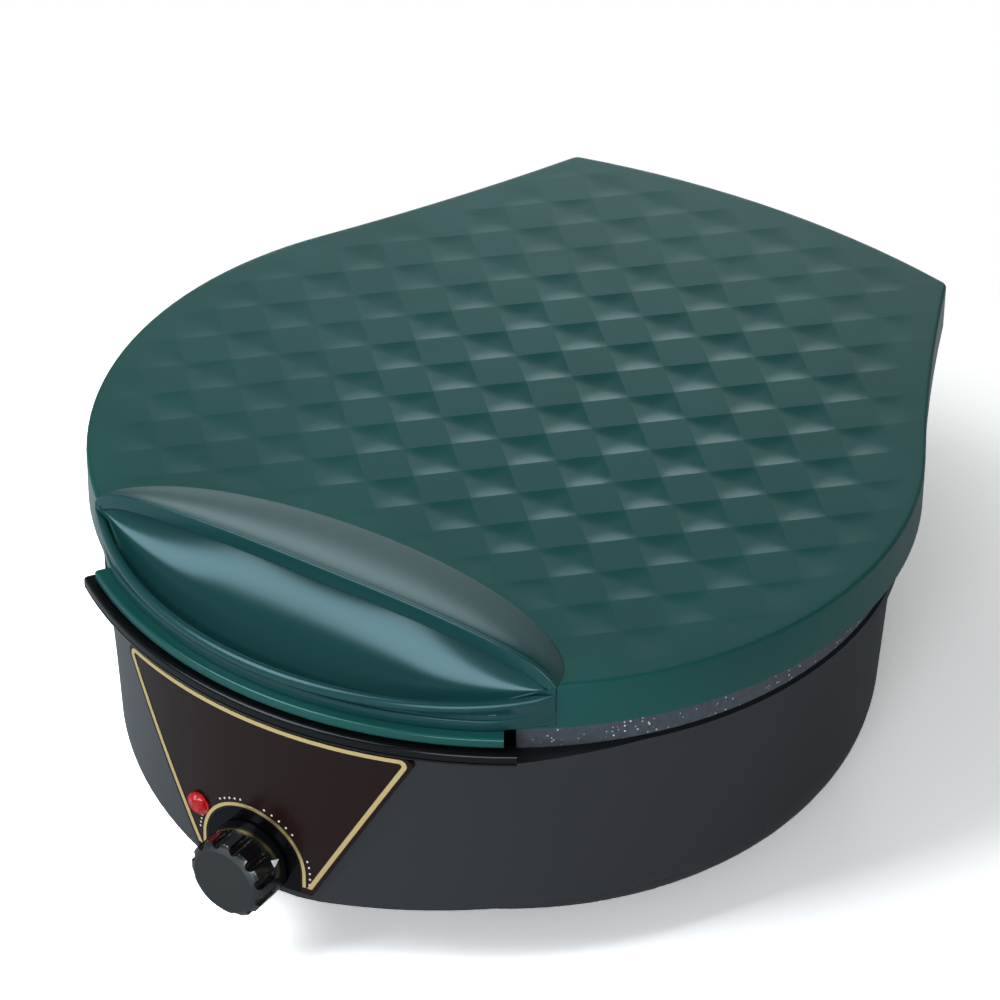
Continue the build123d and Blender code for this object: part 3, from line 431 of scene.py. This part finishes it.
# Terminal block, leads and thermostat
# The block is cream steatite with a glossy glaze, and the leads have dull red braided silicone jackets.
# The thermostat's body is moulded phenolic, brown and half glossy.
steatite, steatite_face = start_finish(
    "glazed_steatite", {"Base Color": linear("#E0DDD3"), "Roughness": 0.25}
)
roughen(steatite, steatite_face, wavelength=2.0, depth=0.01)
dress("terminal_block", steatite, rounding=0.4)

jacket, jacket_face = start_finish("silicone_jacket", {"Base Color": linear("#8E1B18"), "Roughness": 0.6})
roughen(jacket, jacket_face, wavelength=0.5, depth=0.03)
dress("base_leads", jacket)

phenolic, phenolic_face = start_finish(
    "moulded_phenolic", {"Base Color": linear("#3A2418"), "Roughness": 0.4}
)
roughen(phenolic, phenolic_face, wavelength=0.8, depth=0.01)
dress("thermostat", phenolic, rounding=0.4)

# Control panel
# A bowed trapezoid of dark brown gloss acrylic set on the prow, with an arched opening round the dial.
# Faint orange peel makes its reflections soft at the edges.
panel_brown, panel_face = start_finish(
    "gloss_brown_acrylic",
    {"Base Color": linear("#200F0C"), "Roughness": 0.22, "IOR": 1.45, "Specular IOR Level": 0.2},
)
roughen(panel_brown, panel_face, wavelength=6.0, depth=0.01)
dress("control_panel", panel_brown, rounding=0.3)

# Gold outline
# Hot-stamped foil on a low moulded bead; it follows the panel's edge and runs over the dial's arch.
# The foil is slightly satin, so it shines pale gold and doesn't mirror.
stamped_gold, gold_face = start_finish(
    "hot_stamped_gold", {"Base Color": linear("#FCDA98"), "Metallic": 1.0, "Roughness": 0.34}
)
roughen(stamped_gold, gold_face, wavelength=0.8, depth=0.008)
dress("panel_trim", stamped_gold, rounding=0.1)

# Dial plate
# Piano-black acrylic in the panel's arched opening, behind the knob.
# It is the glossiest surface on the front.
piano_black, piano_face = start_finish(
    "piano_black_acrylic",
    {"Base Color": linear("#060607"), "Roughness": 0.1, "IOR": 1.45, "Specular IOR Level": 0.12},
)
roughen(piano_black, piano_face, wavelength=9.0, depth=0.008)
dress("dial_plate", piano_black, rounding=0.2)

# Scale dots
# Cream dots pad-printed on the panel round the dial's arch, in groups of four and five.
# They are raised by the ink's own thickness, drawn coarser at 0.1 mm so that they show.
pan_axis_y = -0.00615
panel_round = 0.1744
dial_z = 0.0435
dot_ring = 0.0256
dot_radius = 0.0005
dot_top_radius = 0.0004
dot_height = 0.0002
dot_groups = (
    (125.6, 119.5, 113.4, 107.3, 101.2),
    (76.4, 68.4, 60.4, 52.4, 44.4),
    (16.3, 10.0, 3.7, -2.6, -8.9),
    (162.0, 166.4, 170.8, 175.2),
)

dot_ink, dot_face = start_finish("cream_pad_print", {"Base Color": linear("#E9DFC8"), "Roughness": 0.5})
roughen(dot_ink, dot_face, wavelength=0.4, depth=0.004)
dot_bm = bmesh.new()
for dot_angles in dot_groups:
    for dot_angle in dot_angles:
        dot_x = dot_ring * math.cos(math.radians(dot_angle))
        dot_z = dial_z + dot_ring * math.sin(math.radians(dot_angle))
        dot_turn = math.asin(dot_x / panel_round)
        dot_place = Vector((dot_x, pan_axis_y - panel_round * math.cos(dot_turn), dot_z))
        dot_aim = Matrix.Rotation(dot_turn, 4, "Z") @ Matrix.Rotation(math.pi / 2, 4, "X")
        bmesh.ops.create_cone(
            dot_bm,
            cap_ends=True,
            segments=16,
            radius1=dot_radius,
            radius2=dot_top_radius,
            depth=dot_height,
            matrix=Matrix.Translation(dot_place) @ dot_aim,
        )
dot_mesh = bpy.data.meshes.new("scale_dots")
dot_bm.to_mesh(dot_mesh)
dot_bm.free()
dot_mesh.materials.append(dot_ink)
dots = bpy.data.objects.new("scale_dots", dot_mesh)
bpy.context.scene.collection.objects.link(dots)
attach(dots, "base")

# Indicator lens and lamp
# The lens is clear red polycarbonate, faceted inside like a gem, so it breaks the light into small patches.
# The lamp behind it is a small clear glass envelope.
facet_size = 3.4

lens_red, lens_face = start_finish(
    "red_polycarbonate",
    {
        "Base Color": linear("#CC0E10"),
        "Roughness": 0.12,
        "IOR": 1.5,
        "Transmission Weight": 0.2,
        "Specular IOR Level": 0.4,
    },
)
lens_where = add_node(lens_red, "ShaderNodeTexCoord")
lens_cells = add_node(
    lens_red,
    "ShaderNodeTexVoronoi",
    {"Scale": 1000 / facet_size},
    {"Vector": (lens_where, "Object")},
)
lens_bump = add_node(lens_red, "ShaderNodeBump", {"Distance": 0.0012}, {"Height": (lens_cells, "Distance")})
lens_red.node_tree.links.new(lens_bump.outputs[0], lens_face.inputs["Normal"])
dress("indicator_lens", lens_red)

lamp_glass, glass_face = start_finish(
    "lamp_glass",
    {"Base Color": linear("#F2E2C8"), "Roughness": 0.05, "Transmission Weight": 0.9, "IOR": 1.47},
)
roughen(lamp_glass, glass_face, wavelength=3.0, depth=0.005)
dress("indicator_lamp", lamp_glass)

# Knob
# Compression-moulded phenolic: twelve glossy scallops round the front, a smooth band behind and a satin face.
# The white triangle on the band is pad-printed.
satin_to_y = -0.1985
gloss_from_y = -0.1975

knob_black, knob_face = start_finish(
    "gloss_black_phenolic", {"Base Color": linear("#0C0C0E"), "IOR": 1.55, "Specular IOR Level": 0.6}
)
knob_where = add_node(knob_black, "ShaderNodeTexCoord")
knob_split = add_node(knob_black, "ShaderNodeSeparateXYZ", links={"Vector": (knob_where, "Object")})
knob_satin = add_node(
    knob_black,
    "ShaderNodeMapRange",
    {"From Min": satin_to_y, "From Max": gloss_from_y, "To Min": 0.55, "To Max": 0.16},
    {"Value": (knob_split, "Y")},
)
knob_black.node_tree.links.new(knob_satin.outputs[0], knob_face.inputs["Roughness"])
dress("control_knob", knob_black, rounding=0.35)

printed_white, white_face = start_finish(
    "pad_printed_white", {"Base Color": linear("#E8E8E6"), "Roughness": 0.5}
)
roughen(printed_white, white_face, wavelength=0.4, depth=0.005)
dress("knob_pointer", printed_white)

# Lid frame
# Black polypropylene plate that closes the lid's underside and carries the upper plate.
# It has the bottom cover's matt finish.
dress("lid_frame", cover_black, rounding=0.3)

# Lid cover
# One pressing in dark green satin lacquer, whose faint orange peel softens what it mirrors.
# Every other diamond of its top is dished, deepest behind the middle and fading to the rim.
tile_side = 0.01888
tile_depth = 0.0005
tile_first = (0.01335, -0.00535)
tile_squareness = 6
tile_fade = 0.028
tile_cuts = 10
tile_rows = 13
cut_slack = 0.0000005
top_slack = 0.00005
border_slack = 0.01
tile_strong = (0.035, 0.02)
strong_reach = 0.13
strong_most = 1.2
strong_loss = 0.9
strong_least = 0.3
clouds_per_metre = 14.0
peel_size = 1.6

lid_green, lid_face = start_finish(
    "green_satin_lacquer",
    {"Roughness": 0.23, "IOR": 1.5, "Specular IOR Level": 0.37, "Specular Tint": (0.72, 0.97, 1.0, 1.0)},
)
lid_where = add_node(lid_green, "ShaderNodeTexCoord")
lid_cloud = add_node(
    lid_green,
    "ShaderNodeTexNoise",
    {"Scale": clouds_per_metre, "Detail": 2.0},
    {"Vector": (lid_where, "Object")},
)
lid_tint = add_node(
    lid_green,
    "ShaderNodeMix",
    {"data_type": "RGBA", 6: linear("#12403C"), 7: linear("#1B524B")},
    {0: (lid_cloud, 0)},
)
lid_green.node_tree.links.new(lid_tint.outputs[2], lid_face.inputs["Base Color"])
lid_peel = add_node(
    lid_green,
    "ShaderNodeTexNoise",
    {"Scale": 1000 / peel_size, "Detail": 2.0},
    {"Vector": (lid_where, "Object")},
)
lid_bump = add_node(lid_green, "ShaderNodeBump", {"Distance": 0.000006}, {"Height": (lid_peel, 0)})
lid_green.node_tree.links.new(lid_bump.outputs[0], lid_face.inputs["Normal"])


def ease(share):
    """Smooth step from 0 to 1."""
    share = min(1.0, max(0.0, share))
    return share * share * (3 - 2 * share)


def tile_place(x, y):
    """Steps along the two diagonals of the embossing, in tiles."""
    across = x - tile_first[0]
    along = y - pan_axis_y - tile_first[1]
    return (across + along) / math.sqrt(2) / tile_side, (along - across) / math.sqrt(2) / tile_side


pressed_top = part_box("lid_cover")[1].z
lid_bm = bmesh.new()
lid_bm.from_mesh(nodes["lid_cover"].data)
bmesh.ops.remove_doubles(lid_bm, verts=lid_bm.verts, dist=weld_distance)
lid_bm.normal_update()

# Only the flat top is cut along both diagonals, ten times to a tile.
top_low = pressed_top - top_slack
top_faces = [f for f in lid_bm.faces if f.normal.z > 0.999 and f.calc_center_median().z > top_low]
top = set(top_faces)
for face in top_faces:
    top.update(face.edges)
    top.update(face.verts)
top = list(top)
first_middle = Vector((tile_first[0], pan_axis_y + tile_first[1], 0))
for side in (1, -1):
    way = Vector((side / math.sqrt(2), 1 / math.sqrt(2), 0))
    for step in range(-tile_rows * tile_cuts, tile_rows * tile_cuts + 1):
        cut_at = first_middle + way * (step + tile_cuts / 2) * tile_side / tile_cuts
        cut = bmesh.ops.bisect_plane(lid_bm, geom=top, dist=cut_slack, plane_co=cut_at, plane_no=way)
        top = cut["geom"]

# The dishes fade out towards the top's edge, so its outline stays as pressed.
top_faces = {g for g in top if isinstance(g, bmesh.types.BMFace)}
top_verts = [g for g in top if isinstance(g, bmesh.types.BMVert)]
edge_verts = [v for v in top_verts if any(f not in top_faces for f in v.link_faces)]
edge_tree = kdtree.KDTree(len(edge_verts))
for index, vert in enumerate(edge_verts):
    edge_tree.insert(vert.co, index)
edge_tree.balance()
for vert in top_verts:
    strength = ease(edge_tree.find(vert.co)[2] / tile_fade)
    away = math.hypot(vert.co.x - tile_strong[0], vert.co.y - tile_strong[1]) / strong_reach
    strength *= max(strong_least, strong_most - strong_loss * away**2)
    along, across = tile_place(vert.co.x, vert.co.y)
    row, column = round(along), round(across)
    if (row + column) % 2 == 0:
        sides = abs(2 * (along - row)) ** tile_squareness + abs(2 * (across - column)) ** tile_squareness
        out = sides ** (1 / tile_squareness)
        vert.co.z -= tile_depth * strength * (1 - min(1.0, out) ** 2)

# The tiles' borders stay sharp, as the press leaves them.
for edge in lid_bm.edges:
    middle = (edge.verts[0].co + edge.verts[1].co) / 2
    on_line = any(abs(tiles % 1 - 0.5) < border_slack for tiles in tile_place(middle.x, middle.y))
    on_top = edge.verts[0].co.z > pressed_top - 2 * tile_depth
    edge.smooth = edge.calc_face_angle(3.0) < crisp_angle and not (on_line and on_top)
lid_mesh = bpy.data.meshes.new("lid_cover_embossed")
lid_bm.to_mesh(lid_mesh)
lid_bm.free()
lid_mesh.materials.append(lid_green)
for face in lid_mesh.polygons:
    face.use_smooth = True
lid_skin = bpy.data.objects.new("lid_cover_embossed", lid_mesh)
bpy.context.scene.collection.objects.link(lid_skin)
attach(lid_skin, "lid")
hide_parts("lid_cover")

# Handle
# Hood, finger pocket and rolled rim are one moulding in the lid's green, smooth and a little glossier.
# It drops into the lid's lens-shaped opening; its front stands over the tier ring and the lip.
# Its sizes are in millimetres, with Y from the pan's axis.
handle_half = 105.5
handle_steps = 44
tip_inset = 0.9995
handle_tip_y = -128.0
handle_back_y = -85.4
back_overlap = 0.3
handle_front_y = -171.6
handle_front_bow = 149.55
under_z = 123.4
handle_sharp = math.radians(75)

tier_radius = 168.0
tier_depth = 5.5
tier_corner = 0.5
tier_low_z = 121.3
tier_top_z = 126.0
tier_end_x = 84.0
tier_end_length = 19.0
tier_end_inset = 2.8
groove_depth = 1.0
groove_foot = 0.05
groove_head = 0.3

bead_width = 5.0
bead_low_z = 128.3
bead_top_z = 133.0
bead_end_rise = 3.5
bead_bend = 6
bead_under_angle = 250
bead_angles = (225, 202, 180, 157, 135, 112, 90, 67, 45, 22, 0)

face_clearance = 0.2
pocket_half = 102.0
pocket_back = 16.0
pocket_floor_z = 125.5
pocket_low_share = 0.2
wall_steps = 8
scoop_half = 101.0
scoop_end_power = 3.8
scoop_middle_power = 2.5
scoop_steps = 16
floor_flat_half = 45.0
floor_end_rise = 11.5

lid_top_z = 140.0
strip_y = -131.0
strip_bend = 8
strip_height = 7.2
strip_below_top = 2.5
strip_corner = ((1.0, 0.0), (0.4, 0.12), (0.1, 0.45), (0.0, 1.0))
hood_rise = 14.0
hood_end_powers = (3.4, 16)
hood_corner = ((0.0, 0.9), (0.15, 0.3), (0.6, 0.0), (1.1, 0.1), (1.6, 0.45), (2.1, 0.55), (2.6, 0.5))
corner_height = 3.0
hood_crown = 1.4
hood_back_steps = 18
rear_edge = 0.6

handle_green, handle_face = start_finish(
    "green_gloss_lacquer",
    {
        "Base Color": linear("#163E3C"),
        "Roughness": 0.26,
        "Specular IOR Level": 0.42,
        "Specular Tint": (0.7, 0.97, 1.03, 1.0),
    },
)
roughen(handle_green, handle_face, wavelength=1.8, depth=0.004)


def handle_section(x):
    """Closed outline of the handle at one X, as points in metres.

    It starts inside the tier and runs forward, round the rolled rim, down into the pocket, up the scoop
    to the hood's lower edge, over the hood and back down inside the lid.
    """
    share = abs(x) / handle_half
    front_y = handle_front_y + handle_front_bow - math.sqrt(handle_front_bow**2 - x**2)
    back_y = handle_tip_y + back_overlap + (handle_back_y - handle_tip_y) * math.sqrt(1 - share**2)
    face_y = strip_y + (handle_tip_y - strip_y) * share**strip_bend

    tier_end = ease((abs(x) - tier_end_x) / tier_end_length)
    tier_y = -math.sqrt((tier_radius - tier_end_inset * tier_end) ** 2 - x**2)
    groove_y = tier_y + groove_depth * (1 - tier_end)
    outline = [
        (tier_y + tier_depth, tier_low_z),
        (tier_y + tier_corner, tier_low_z),
        (tier_y, tier_low_z + tier_corner),
        (tier_y, tier_top_z - tier_corner),
        (tier_y + tier_corner * (1 - tier_end), tier_top_z),
        (groove_y, tier_top_z + groove_foot),
        (groove_y, bead_low_z - groove_head),
    ]

    bead = min(bead_width, face_y - face_clearance - front_y) / 2
    bead_y = front_y + bead
    bead_z = bead_top_z + bead_end_rise * share**bead_bend - bead
    outline.append((bead_y + bead * math.cos(math.radians(bead_under_angle)), bead_low_z))
    for angle in bead_angles:
        turn = math.radians(angle)
        outline.append((bead_y + bead * math.cos(turn), bead_z + bead * math.sin(turn)))

    crest_z = lid_top_z + hood_rise * (1 - sum(share**power for power in hood_end_powers) / 2)
    strip_low_z = max(crest_z - strip_height, lid_top_z - strip_below_top)
    inner_y = bead_y + bead
    rear_y = face_y + face_clearance + pocket_back * (1 - min(1.0, abs(x) / pocket_half) ** 2)
    low_y = inner_y + pocket_low_share * (rear_y - inner_y)
    rise = max(0.0, abs(x) - floor_flat_half) / (scoop_half - floor_flat_half)
    floor_z = pocket_floor_z + floor_end_rise * rise**2
    for step in range(1, wall_steps + 1):
        part = step / wall_steps
        lift = (bead_z - floor_z) * (1 - part) ** 2
        outline.append((inner_y + (low_y - inner_y) * part, floor_z + lift))
    deep = 1 - min(1.0, abs(x) / scoop_half) ** 2
    scoop_power = scoop_end_power + (scoop_middle_power - scoop_end_power) * deep
    for step in range(1, scoop_steps + 1):
        part = step / scoop_steps
        lift = (strip_low_z - floor_z) * part**scoop_power
        outline.append((low_y + (rear_y - low_y) * part, floor_z + lift))

    outline.append(((rear_y + face_y) / 2, strip_low_z))
    corner = min(1, (crest_z - strip_low_z) / corner_height)
    for back, up in strip_corner:
        outline.append((face_y + back * corner, strip_low_z + up * corner))
    for back, down in hood_corner:
        outline.append((face_y + back * corner, crest_z - down * corner))
    start_y, start_z = outline[-1]
    for step in range(1, hood_back_steps + 1):
        part = step / hood_back_steps
        lift = (start_z - lid_top_z) * (1 - part**hood_crown)
        outline.append((start_y + (back_y - start_y) * part, lid_top_z + lift))
    outline += [(back_y, lid_top_z - rear_edge), (back_y, under_z), (tier_y + tier_depth, under_z)]
    return [Vector((x / 1000, y / 1000 + pan_axis_y, z / 1000)) for y, z in outline]


def rounded_place(vert):
    """A vertex's place to 10 nanometres, as a key for finding it again."""
    return tuple(round(c, 8) for c in vert.co)


# Sections stand closer towards the tips, and the end ones just inside them, where the outline keeps an area.
stations = []
for step in range(-handle_steps, handle_steps + 1):
    stations.append(handle_half * math.sin(math.pi / 2 * step / handle_steps))
stations[0] *= tip_inset
stations[-1] *= tip_inset

handle_bm = bmesh.new()
ring_verts = [handle_bm.verts.new(point) for point in handle_section(stations[0])]
ring_edges = []
for index, vert in enumerate(ring_verts):
    ring_edges.append(handle_bm.edges.new((ring_verts[index - 1], vert)))
bmesh.ops.contextual_create(handle_bm, geom=ring_edges)
for x in stations[1:]:
    index_at = {rounded_place(vert): index for index, vert in enumerate(ring_verts)}
    pulled = bmesh.ops.extrude_edge_only(handle_bm, edges=ring_edges)["geom"]
    new_verts = {g for g in pulled if isinstance(g, bmesh.types.BMVert)}
    ring_edges = [g for g in pulled if isinstance(g, bmesh.types.BMEdge) and new_verts.issuperset(g.verts)]
    section = handle_section(x)
    for vert in new_verts:
        index = index_at[rounded_place(vert)]
        ring_verts[index] = vert
        vert.co = section[index]
bmesh.ops.contextual_create(handle_bm, geom=ring_edges)
bmesh.ops.recalc_face_normals(handle_bm, faces=handle_bm.faces)

handle_mesh = bpy.data.meshes.new("handle_hood_and_pocket")
handle_bm.to_mesh(handle_mesh)
handle_bm.free()
handle_mesh.materials.append(handle_green)
for face in handle_mesh.polygons:
    face.use_smooth = True
handle_mesh.set_sharp_from_angle(angle=handle_sharp)
handle = bpy.data.objects.new("handle_hood_and_pocket", handle_mesh)
handle.modifiers.new("level", "WEIGHTED_NORMAL").keep_sharp = True
bpy.context.scene.collection.objects.link(handle)
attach(handle, "lid")
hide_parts("handle_insert")

bpy.context.view_layer.update()
